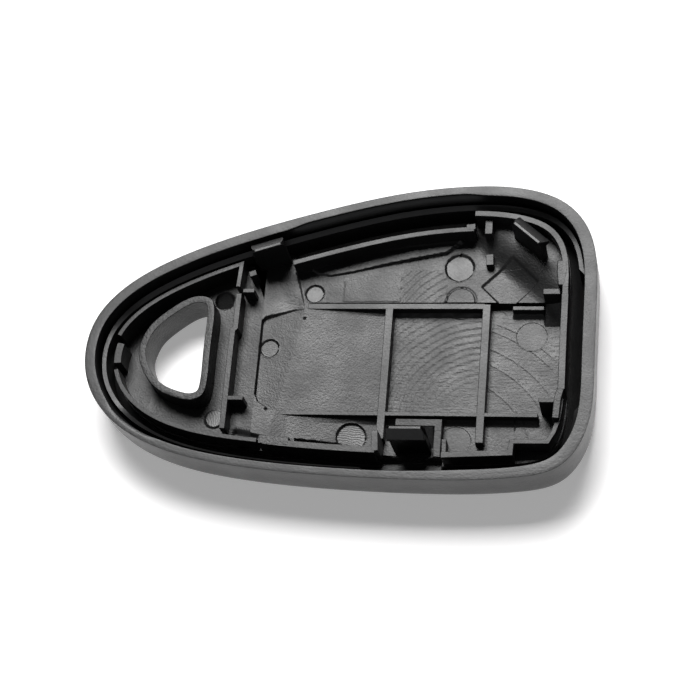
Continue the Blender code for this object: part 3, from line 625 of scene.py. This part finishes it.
def marked_height(tree, skin, box, centre, strengths, pins):
    """Skin height plus the cutter's arcs in a box of the plan (metres: west, south, east, north) and its
    scratches from the box on eastwards, and the ground lines of the pins. Also gives the mask of the
    pins, where the skin is weaker."""
    place = tree.nodes.new("ShaderNodeTexCoord").outputs["Object"]
    cutter = tree.nodes.new("ShaderNodeGroup")
    cutter.node_tree = cutter_group
    cutter.inputs["East"].default_value, cutter.inputs["North"].default_value = centre
    tree.links.new(place, cutter.inputs["Place"])
    split = tree.nodes.new("ShaderNodeSeparateXYZ")
    tree.links.new(place, split.inputs[0])
    x, y = split.outputs["X"], split.outputs["Y"]
    west, south, east, north = box
    scratched = product(tree, worked(tree, "GREATER_THAN", x, west), worked(tree, "GREATER_THAN", y, south),
                        worked(tree, "LESS_THAN", y, north))
    milled = product(tree, scratched, worked(tree, "LESS_THAN", x, east))
    arcs = product(tree, cutter.outputs["Arcs"], milled, strengths[0])
    fine = product(tree, cutter.outputs["Scratches"], scratched, strengths[1])
    masks, lines = pin_faces(tree, place, pins)
    marked = worked(tree, "ADD", skin.outputs["Height"], worked(tree, "ADD", arcs, fine))
    plain = product(tree, marked, worked(tree, "SUBTRACT", 1.0, product(tree, masks, 0.7)))
    return worked(tree, "ADD", plain, lines), masks


def bay_height(tree, skin):
    """Skin height with the cutter's marks right of the left cross rib, and the bay's pin marks."""
    return marked_height(tree, skin, (0.0058, -0.0089, 0.0178, 0.0050), (0.018, -0.010), (0.62, 1.5),
                         PINS["bay"])


def rear_height(tree, skin):
    """Skin height with the cutter's marks on the rear floor's right half, and its pin marks."""
    return marked_height(tree, skin, (0.0068, 0.0050, 0.0128, 0.0102), (0.019, -0.002), (0.75, 0.5),
                         PINS["rear"])


def nose_height(tree, skin):
    """Skin height with the ground face of the nose's pin, and no marks of the cutter."""
    return marked_height(tree, skin, (1.0, 1.0, 1.0, 1.0), (0.0, 0.0), (0.0, 0.0), PINS["nose"])


bay_plastic = black_plastic("bay_floor_plastic", pimples=1.9, gloss=(0.36, 0.52), height=bay_height)
rear_plastic = black_plastic("rear_floor_plastic", pimples=1.9, gloss=(0.38, 0.54), height=rear_height)
floor_plastic = black_plastic("floor_plastic", pimples=2.0, gloss=(0.40, 0.56), height=nose_height)

# Columns of each sheet. The ledge's table pairs shares along the bay's edge with shares of the way
# round the rim beside it. The two sheets meet at a seam just in front of that edge.
REAR_COLUMNS, BAY_COLUMNS, EDGE_COLUMNS, NOSE_COLUMNS = 320, 340, 260, 420
REAR_START, REAR_END, SEAM = 0.147, 0.437, 0.25
EDGE_WAY = np.array([(0, REAR_END), (0.30, 0.575), (0.40, 0.635), (0.52, 0.680), (1, 0.845)])

rear_far = ledge_edge(np.linspace(REAR_START, REAR_END, REAR_COLUMNS))
rear_far[0, 0] = NOSE_STEP_X
rear_x = np.linspace(NOSE_STEP_X, BAY_END_X, REAR_COLUMNS)
rear_near = np.stack([rear_x, np.full(REAR_COLUMNS, BAY_REAR_Y)], axis=1)
floor_sheet("rear_floor", rear_far, rear_near, 90, rear_plastic)

bay_x = np.linspace(NOSE_STEP_X, BAY_END_X, BAY_COLUMNS)
bay_low = np.stack([bay_x, read_off(BAY_FRONT, bay_x) - SEAM], axis=1)
bay_high = np.stack([bay_x, np.full(BAY_COLUMNS, BAY_REAR_Y)], axis=1)
floor_sheet("bay_floor", bay_high, bay_low, 270, bay_plastic)

edge_in = np.vstack([[(BAY_END_X, BAY_REAR_Y)], BAY_FRONT[::-1] - (0, SEAM), [(NOSE_STEP_X, -13.2)]])
edge_gone = np.concatenate([[0], np.cumsum(np.linalg.norm(np.diff(edge_in, axis=0), axis=1))])
edge_at = np.linspace(0, edge_gone[-1], EDGE_COLUMNS)
edge_in = np.stack([np.interp(edge_at, edge_gone, column) for column in edge_in.T], axis=1)
edge_out = ledge_edge(read_off(EDGE_WAY, edge_at / edge_gone[-1]))
edge_out[-1, 0] = NOSE_STEP_X
floor_sheet("front_ledge_floor", edge_in, edge_out, 24, floor_plastic)

nose_turn = np.linspace(-math.pi, math.pi, NOSE_COLUMNS, endpoint=False)[::-1]
nose_side = ledge_edge(np.arange(LOOP_STEPS) / LOOP_STEPS)
side_turn = np.arctan2(*(nose_side - EYE_CENTRE).T[::-1])
side_far = np.hypot(*(nose_side - EYE_CENTRE).T)
order = np.argsort(side_turn)
reach = np.interp(nose_turn, side_turn[order], side_far[order], period=2 * math.pi)
ray = np.stack([np.cos(nose_turn), np.sin(nose_turn)], axis=1)
to_step = (NOSE_STEP_X - EYE_CENTRE[0]) / np.maximum(ray[:, 0], 1e-6)
nose_edge = EYE_CENTRE + ray * np.where(ray[:, 0] > 0, np.minimum(reach, to_step), reach)[:, None]
floor_sheet("nose_floor", eye_at(nose_turn, 0.4), nose_edge, 90, floor_plastic, closed=True)


# Key ring eye: a D shaped tube moulded up from the floor, its hole rounded out at the closed face so
# that a ring or strap doesn't chafe. One cross-section is carried round the hole.
EYE_WALL, WALL_TOP, EYE_ROUND_OUT, EYE_ROUND_IN = 0.9, 5.6, 0.08, 0.07
FLARE_MIDDLE, FLARE_REACH, FLARE_TOP, FLARE_DROP = -0.25, 1.15, 1.20, 1.18


def eye_points():
    """Cross-section rows as inset from the tube's outer side and height, carried round the loop: up the
    outer side, over a rounded top, down the hole, and out again in a quarter circle at the bottom."""
    outer, inner = rounded_edges(EYE_WALL, WALL_TOP, EYE_ROUND_OUT, EYE_ROUND_IN)
    turn = np.linspace(0, math.pi / 2, 9)
    flare_inset = FLARE_MIDDLE + FLARE_REACH * np.cos(turn)
    flare = np.stack([flare_inset, FLARE_TOP - FLARE_DROP * np.sin(turn)], axis=1)
    foot = [(-0.05, 0.6), (-0.05, 2.4), (0.0, 3.2)]
    rows = np.vstack([foot, outer, [(0.4, WALL_TOP)], inner, [(EYE_WALL, 3.0)], flare])
    loop = eye[None] + eye_square[None] * rows[:, 0][:, None, None]
    height = np.repeat(rows[:, 1:], len(eye), axis=1)[..., None]
    return np.concatenate([loop, height], axis=-1)


eye_plastic = black_plastic("eye_plastic", pimples=3.4, cloud=1.3, gloss=(0.42, 0.56))
eye_mesh = grid_mesh("key_ring_eye_ring", eye_points(), close_rows=True, close_columns=True)
eye_mesh.flip_normals()
add_piece("key_ring_eye_ring", eye_mesh, eye_plastic, stands_for=["key_ring_eye"])


# Upright walls of the moulding: the thin rail behind the rim, and the locating walls round the nose
# and the board bay. Each is a strip of even thickness carried along its path, with rounded edges.
def upright(path, thickness, low, high, draft=0.0, lean=0.0):
    """Closed strip: the path moved half the thickness to each side, square to it with mitred turns, at
    the low and the high level. The thickness shrinks by the draft at the top, and the right side of the
    top lies lower by the lean."""
    path = np.asarray(path, float)
    steps = np.diff(path, axis=0)
    steps /= np.linalg.norm(steps, axis=1)[:, None]
    sides = np.stack([-steps[:, 1], steps[:, 0]], axis=1)
    joins = np.vstack([sides[:1], sides[:-1] + sides[1:], sides[-1:]])
    joins /= np.linalg.norm(joins, axis=1)[:, None]
    lead = np.vstack([sides, sides[-1:]])
    offset = joins / (joins * lead).sum(axis=1)[:, None]
    half = np.broadcast_to(thickness, len(path))[:, None] / 2
    low, high = np.broadcast_to(low, len(path)), np.broadcast_to(high, len(path))
    corners = []
    for side, level, shrink in ((1, low, 0), (1, high, draft), (-1, high - lean, draft), (-1, low, 0)):
        plan = path + side * offset * (half - shrink / 2)
        corners.append(np.concatenate([plan, level[:, None]], axis=1))
    points = np.stack(corners)
    count = len(path)
    index = np.arange(4 * count).reshape(4, count)
    index = np.vstack([index, index[:1]])
    faces = np.stack([index[:-1, :-1], index[1:, :-1], index[1:, 1:], index[:-1, 1:]], axis=-1).reshape(-1, 4)
    caps = np.array([[index[3, 0], index[2, 0], index[1, 0], index[0, 0]],
                     [index[0, -1], index[1, -1], index[2, -1], index[3, -1]]])
    return points.reshape(-1, 3), np.vstack([faces, caps])


def add_upright(name, path, thickness, low, high, material, stands_for=(), round_edges=0.07, lean=0.0):
    """Upright wall as a piece of the shell, 0.04 mm thinner at its top."""
    points, faces = upright(path, thickness, low, high, 0.04, lean)
    return add_piece(name, mesh_of(name, points, faces), material, stands_for=stands_for,
                     round_edges=round_edges)


wall_plastic = black_plastic("wall_plastic", pimples=1.3, gloss=(0.40, 0.52))

# The rail's top falls away to its inner side along the near flank, and dips beside the front hook.
RAIL_TOP, RAIL_DIP = 6.0, 2.9
RAIL_LEAN = np.array([
    (0.552, 0.30), (0.60, 1.00), (0.90, 1.00), (0.95, 0.05), (1.01, 0.05), (1.06, 0.50), (1.38, 0.50),
    (1.43, 0.0), (1.449, 0.0)])
rail = np.vstack([beside_rim([0.552], [1.5]), rim_run(0.556, 1.445, 1.995), beside_rim([1.449], [1.5])])
rail_way = np.linspace(0.552, 1.449, len(rail))
rail_top = RAIL_TOP - RAIL_DIP * rise(rail_way, 0.681, 0.686) * (1 - rise(rail_way, 0.742, 0.748))
rail_piece = add_upright("inner_rail_strip", rail, 0.55, 2.0, rail_top, wall_plastic, ["inner_rail"],
                         round_edges=0, lean=read_off(RAIL_LEAN, rail_way))
rail_piece.data.set_sharp_from_angle(angle=math.radians(25))

# Locating walls: path, thickness, foot and top. A foot on the ledge or on the slab ends inside the floor.
ON_LEDGE, ON_SLAB, CORNER_TOP = 2.2, 1.0, 6.4
rear_nose = np.vstack([rim_run(0.020, 0.141, 2.88), [(-13.70, 6.72)]])
front_end = beside_rim((0.5455, 0.556, 0.567, 0.579, 0.593, 0.6375, 0.6393, 0.688),
                       (4, 4, 4, 4, 4, 5.4, 4, 4))
front_end[-1, 0] = 13.75
front_end_thickness = (0.62, 0.62, 0.62, 0.62, 0.62, 0.62, 0.80, 0.80)
divider = [(-13.47, 5.8), (-13.47, 1.1), (-13.79, 0.71), (-13.79, -12.55)]
for node, path, thickness, foot, top in (
        ("nose_wall_rear", rear_nose, 0.62, ON_LEDGE, WALL_TOP),
        ("nose_wall_front", rim_run(0.983, 0.826, 3.4, 4.4), 0.62, ON_SLAB, WALL_TOP),
        ("front_wall", rim_run(0.8215, 0.738, 4.4), 0.88, ON_SLAB, WALL_TOP),
        ("rear_wall", rim_run(0.179, 0.322, 4.9), 0.70, ON_LEDGE, WALL_TOP),
        ("corner_wall", rim_run(0.323, 0.461, 3.1, 4.0), 0.80, ON_LEDGE, CORNER_TOP),
        ("end_wall", rim_run(0.4665, 0.540, 4.0), 0.90, ON_LEDGE, CORNER_TOP),
        ("front_end_wall", front_end, front_end_thickness, ON_SLAB, WALL_TOP),
        ("divider_wall", divider, 0.76, ON_LEDGE, WALL_TOP)):
    add_upright(node + "_strip", path, thickness, foot, top, wall_plastic, [node])

# Thickened ends and joints of the walls. Tops that meet a wall's top differ from it by a hundredth.
pad_plastic = black_plastic("pad_plastic", pimples=2.4, cloud=1.2, gloss=(0.40, 0.52))
for name, path, thickness, foot, top, material, rounding in (
        ("wall_joint_pad", [(-9.02, -13.87), (-5.18, -14.10)], 1.14, ON_SLAB, 5.615, pad_plastic, 0.08),
        ("front_wall_turned_end", [(5.64, -15.20), (5.42, -12.55)], 0.88, ON_SLAB, 5.606, wall_plastic, 0.07),
        ("front_end_wall_foot", [(13.75, -15.3), (13.62, -12.60)], 0.62, ON_SLAB, 3.0, pad_plastic, 0.07),
        ("rear_wall_end_pad", [(15.15, 14.93), (16.28, 15.04)], 0.86, ON_LEDGE, 5.608, wall_plastic, 0.07),
        ("corner_wall_thick_end", [(27.52, 9.9), (27.50, 8.3), (27.45, 6.5)], (1.34, 1.34, 0.80), ON_LEDGE,
         6.412, pad_plastic, 0.14),
        ("end_wall_joint_rear", [(27.98, 6.6), (27.99, 5.2)], 0.80, ON_LEDGE, 6.39, wall_plastic, 0.06),
        ("end_wall_joint_front", [(27.99, -7.0), (27.62, -8.3), (27.42, -11.0)], (0.86, 0.95, 0.90), ON_SLAB,
         6.39, pad_plastic, 0.12)):
    add_upright(name, path, thickness, foot, top, material, round_edges=rounding)


# Board ribs and the frame beside the front hook: low straight strips on the bay's floor that the
# circuit board rests on. They are moulded with the floor and run into each other.
rib_plastic = black_plastic("rib_plastic", pimples=1.2, gloss=(0.38, 0.50))
RIB_TOP, CROSS_TOP, FRAME_TOP = 2.80, 2.812, 2.788
for name, node, path, thickness, top in (
        ("upper_rib_strip", "upper_board_rib", [(-5.0, 5.26), (17.7, 5.26)], 0.82, RIB_TOP),
        ("short_rib_strip", "short_board_rib", [(21.18, 5.02), (25.12, 5.02)], 0.60, RIB_TOP),
        ("lower_rib_strip_left", "lower_board_rib_left", [(-8.0, -9.29), (5.2, -9.29)], 0.60, RIB_TOP),
        ("lower_rib_strip_middle", "lower_board_rib_middle", [(5.9, -9.29), (17.6, -9.29)], 0.60, RIB_TOP),
        ("lower_rib_strip_right", "lower_board_rib_right", [(18.2, -9.29), (24.95, -9.29)], 0.60, RIB_TOP),
        ("cross_rib_strip_left", "cross_rib_left", [(5.57, 4.95), (5.57, -12.6)], 1.05, CROSS_TOP),
        ("cross_rib_strip_right", "cross_rib_right", [(17.92, 5.55), (17.92, -13.0)], 1.05, CROSS_TOP)):
    add_upright(name, path, thickness, ON_SLAB, top, rib_plastic, [node], round_edges=0.08)
frame_plastic = black_plastic("frame_plastic", pimples=2.6, cloud=1.3, gloss=(0.42, 0.56))
add_upright("hook_frame_strip", [(7.36, -10.39), (12.78, -10.39), (12.78, -14.9)], 1.02, ON_SLAB, FRAME_TOP,
            frame_plastic, ["hook_frame"], round_edges=0.12)


# Posts and stops: short stubs beside the walls that place the board and the other half, moulded on.
post_plastic = black_plastic("post_plastic", pimples=1.5, gloss=(0.40, 0.52))
POST_FOOT, BLOCK_TOP = 2.4, 3.95
for name, stands_for, path, thickness, foot, top in (
        ("nose_stop_stub", ["nose_stop_block"], rim_run(-0.0105, 0.0125, 3.6), 1.0, ON_LEDGE, WALL_TOP),
        ("rear_hook_stub", ["rear_hook_post"], rim_run(0.1445, 0.1502, 4.7), 0.8, POST_FOOT, WALL_TOP),
        ("rear_divider_stub", ["rear_divider_post"], [(-13.0, 6.19), (-11.5, 6.19)], 0.6, POST_FOOT,
         WALL_TOP),
        ("front_divider_stub", ["front_divider_post"], [(-13.5, -8.47), (-11.5, -8.47)], 0.6, POST_FOOT,
         WALL_TOP),
        ("rear_corner_block", [], [(18.05, 11.95), (18.15, 10.45)], 1.0, POST_FOOT, BLOCK_TOP),
        ("rear_corner_stub", ["rear_corner_post"], [(17.98, 15.9), (17.98, 13.99)], 1.0, POST_FOOT,
         WALL_TOP),
        ("end_corner_stub", ["end_corner_post"], [(27.3, 6.04), (25.19, 6.04)], 0.8, POST_FOOT, WALL_TOP),
        ("end_bracket_stub", ["end_bracket"], [(27.5, -8.40), (25.26, -8.40)], 0.6, ON_SLAB, WALL_TOP)):
    add_upright(name, path, thickness, foot, top, post_plastic, stands_for)


# Snap hooks: springy blades with a catching nose that reaches outwards under the other half's rim.
# Each bends in its root, so it rides on its own body. Side view: a round foot, a straight blade and a
# nose with a sloped lead-in, carried across the hook's width.
HOOK_TOP, CORNER_ROUND, CORNER_SQUEEZE = 8.8, 0.5, 0.42
HALF_BLADE, KNEE, NOSE_OUT = 0.45, 4.6, 1.05


def hook_points(width, foot, top):
    """Outline of the side view as (outwards, height) rows, carried across the width. Over the last half
    millimetre the width shrinks by a quarter circle, squeezed a little."""
    turn = np.linspace(0, -math.pi, 13)
    round_foot = np.stack([HALF_BLADE * np.cos(turn), foot + HALF_BLADE + HALF_BLADE * np.sin(turn)], axis=1)
    back = [(-HALF_BLADE, KNEE), (-0.42, top - 0.5), (-0.42, top - 0.22), (-0.41, top - 0.06), (-0.40, top)]
    lead_in = [(-0.05, top), (0.02, top - 0.06), (0.22, top - 0.22), (0.56, top - 0.5), (NOSE_OUT, top - 0.9)]
    catch = [(NOSE_OUT, top - 1.45), (0.47, top - 1.55), (HALF_BLADE, KNEE)]
    side = np.vstack([round_foot, back, lead_in, catch])
    drop = np.clip((side[:, 1] - top + CORNER_ROUND) / CORNER_ROUND, 0, 1)
    half = width / 2 - CORNER_SQUEEZE * (1 - np.sqrt(1 - drop ** 2))
    out = np.repeat(side[:, :1], 4, axis=1)
    up = np.repeat(side[:, 1:], 4, axis=1)
    wide = half[:, None] * np.array([-1, -0.34, 0.34, 1])
    return out, wide, up


def add_hook(name, spot, turn, width, foot, node):
    """Hook with its root at a spot of the plan; its nose points along the turned +Y axis. It stands for
    the node and rides on the body of the same name."""
    out, wide, up = hook_points(width, foot, HOOK_TOP)
    turn = math.radians(turn)
    x = spot[0] + wide * math.cos(turn) - out * math.sin(turn)
    y = spot[1] + wide * math.sin(turn) + out * math.cos(turn)
    grid = np.stack([x, y, up], axis=-1)
    rows, columns = grid.shape[:2]
    index = np.arange(rows * columns).reshape(rows, columns)
    ring = np.vstack([index, index[:1]])
    faces = np.stack([ring[:-1, :-1], ring[1:, :-1], ring[1:, 1:], ring[:-1, 1:]], axis=-1).reshape(-1, 4)
    mesh = bpy.data.meshes.new(name)
    sides = [index[:, 0][::-1].tolist(), index[:, -1].tolist()]
    mesh.from_pydata((grid.reshape(-1, 3) * 0.001).tolist(), [], faces.tolist() + sides)
    mesh.update()
    return add_piece(name, mesh, hook_plastic, body=node, stands_for=[node], round_edges=0.10, sharp=25)


hook_plastic = black_plastic("hook_plastic", pimples=0.9, gloss=(0.36, 0.48))
add_hook("rear_hook_blade", (-9.6035, 10.9685), 17.6, 4.2, 2.95, "rear_snap_hook")
add_hook("front_hook_blade", (9.6837, -13.5678), 180, 4.6, 1.40, "front_snap_hook")
add_hook("corner_hook_blade", (23.3158, 12.7231), -41, 5.0, 2.85, "corner_snap_hook")


# Ground: plain white paper under the shell, wide enough to fill the view. It keeps the soft shadow.
HALF_PAPER, SEEN_GLOW, MIRRORED_GLOW = 0.6, 0.31, 0.76


def paper():
    """White paper: plain diffuse white, with a little light of its own that the camera sees and a
    brighter one that the plastic mirrors."""
    material = bpy.data.materials.new("white_paper")
    material.use_nodes = True
    tree = material.node_tree
    shader = tree.nodes["Principled BSDF"]
    shader.inputs["Base Color"].default_value = (0.93, 0.92, 0.92, 1)
    shader.inputs["Roughness"].default_value = 0.9
    shader.inputs["Specular IOR Level"].default_value = 0.0
    light_path = tree.nodes.new("ShaderNodeLightPath")
    seen = product(tree, light_path.outputs["Is Camera Ray"], SEEN_GLOW)
    mirrored = product(tree, light_path.outputs["Is Glossy Ray"], MIRRORED_GLOW)
    shader.inputs["Emission Color"].default_value = (1, 1, 1, 1)
    tree.links.new(worked(tree, "ADD", seen, mirrored), shader.inputs["Emission Strength"])
    return material


ground = bpy.data.meshes.new("ground")
corners = [(HALF_PAPER * east, HALF_PAPER * north, 0) for east, north in ((-1, -1), (1, -1), (1, 1), (-1, 1))]
ground.from_pydata(corners, [], [(0, 1, 2, 3)])
ground.materials.append(paper())
ground_piece = bpy.data.objects.new("ground", ground)
bpy.context.scene.collection.objects.link(ground_piece)


# Light: one wide soft box high behind the shell, in a dim room. Distances are in metres.
BOX_DIRECTION, BOX_DISTANCE, BOX_SIZE, BOX_POWER = (-0.07, 0.53, 0.845), 0.60, (0.34, 0.27), 5.35
ROOM_LIGHT, FRONT_LIGHT = 0.06, 0.5


def add_soft_box(name, direction, distance, size, power):
    """Rectangular area lamp that looks at the middle of the shell."""
    lamp = bpy.data.lights.new(name, "AREA")
    lamp.shape = "RECTANGLE"
    lamp.size, lamp.size_y = size
    lamp.energy = power
    box = bpy.data.objects.new(name, lamp)
    bpy.context.scene.collection.objects.link(box)
    box.location = np.array(direction) / np.linalg.norm(direction) * distance
    box.rotation_euler = box.location.to_track_quat("Z", "Y").to_euler()


def dim_room():
    """World of low even light, with a paler wall in front, low over the table, that only reflections
    see. The wall fades in with the view's turn to the front, and fades out with its climb."""
    room = bpy.data.worlds.new("dim_room")
    room.use_nodes = True
    tree = room.node_tree
    split = tree.nodes.new("ShaderNodeSeparateXYZ")
    tree.links.new(tree.nodes.new("ShaderNodeTexCoord").outputs["Generated"], split.inputs[0])
    front = mapped(tree, split.outputs["Y"], -0.50, -0.20, FRONT_LIGHT, 0.0)
    low = mapped(tree, split.outputs["Z"], 0.45, 0.65, 1.0, 0.0)
    glossy = tree.nodes.new("ShaderNodeLightPath").outputs["Is Glossy Ray"]
    light = tree.nodes["Background"]
    light.inputs["Color"].default_value = (0.97, 0.98, 1.0, 1)
    amount = worked(tree, "ADD", product(tree, front, low, glossy), ROOM_LIGHT)
    tree.links.new(amount, light.inputs["Strength"])
    return room


add_soft_box("soft_box", BOX_DIRECTION, BOX_DISTANCE, BOX_SIZE, BOX_POWER)
bpy.context.scene.world = dim_room()
bpy.context.scene.view_settings.view_transform = "Standard"


# Camera: the photograph's angle, high over the near flank, seen from the right, slightly rolled.
AROUND, UP, ROLL = (math.radians(angle) for angle in (26.816, 64.592, 24.261))
TARGET, DISTANCE = np.array([2.013, -2.889, RIM_TOP]), 245.927
SENSOR, FOCAL_PIXELS, PHOTO_PIXELS = 36, 2000, 700


def add_camera():
    """Camera at a distance from its target, by azimuth and elevation, then rolled about its view."""
    back = np.array([math.sin(AROUND) * math.cos(UP), -math.cos(AROUND) * math.cos(UP), math.sin(UP)])
    right = np.cross(-back, (0, 0, 1))
    right /= np.linalg.norm(right)
    down = np.cross(-back, right)
    data = bpy.data.cameras.new("camera")
    data.sensor_width = data.sensor_height = SENSOR
    data.sensor_fit = "HORIZONTAL"
    data.lens = SENSOR * FOCAL_PIXELS / PHOTO_PIXELS
    data.clip_start = 0.01
    camera = bpy.data.objects.new("camera", data)
    bpy.context.scene.collection.objects.link(camera)
    axes = np.eye(4)
    axes[:3, 0] = math.cos(ROLL) * right + math.sin(ROLL) * down
    axes[:3, 1] = math.sin(ROLL) * right - math.cos(ROLL) * down
    axes[:3, 2] = back
    axes[:3, 3] = (TARGET + back * DISTANCE) * 0.001
    camera.matrix_world = Matrix(axes)
    bpy.context.scene.camera = camera


add_camera()
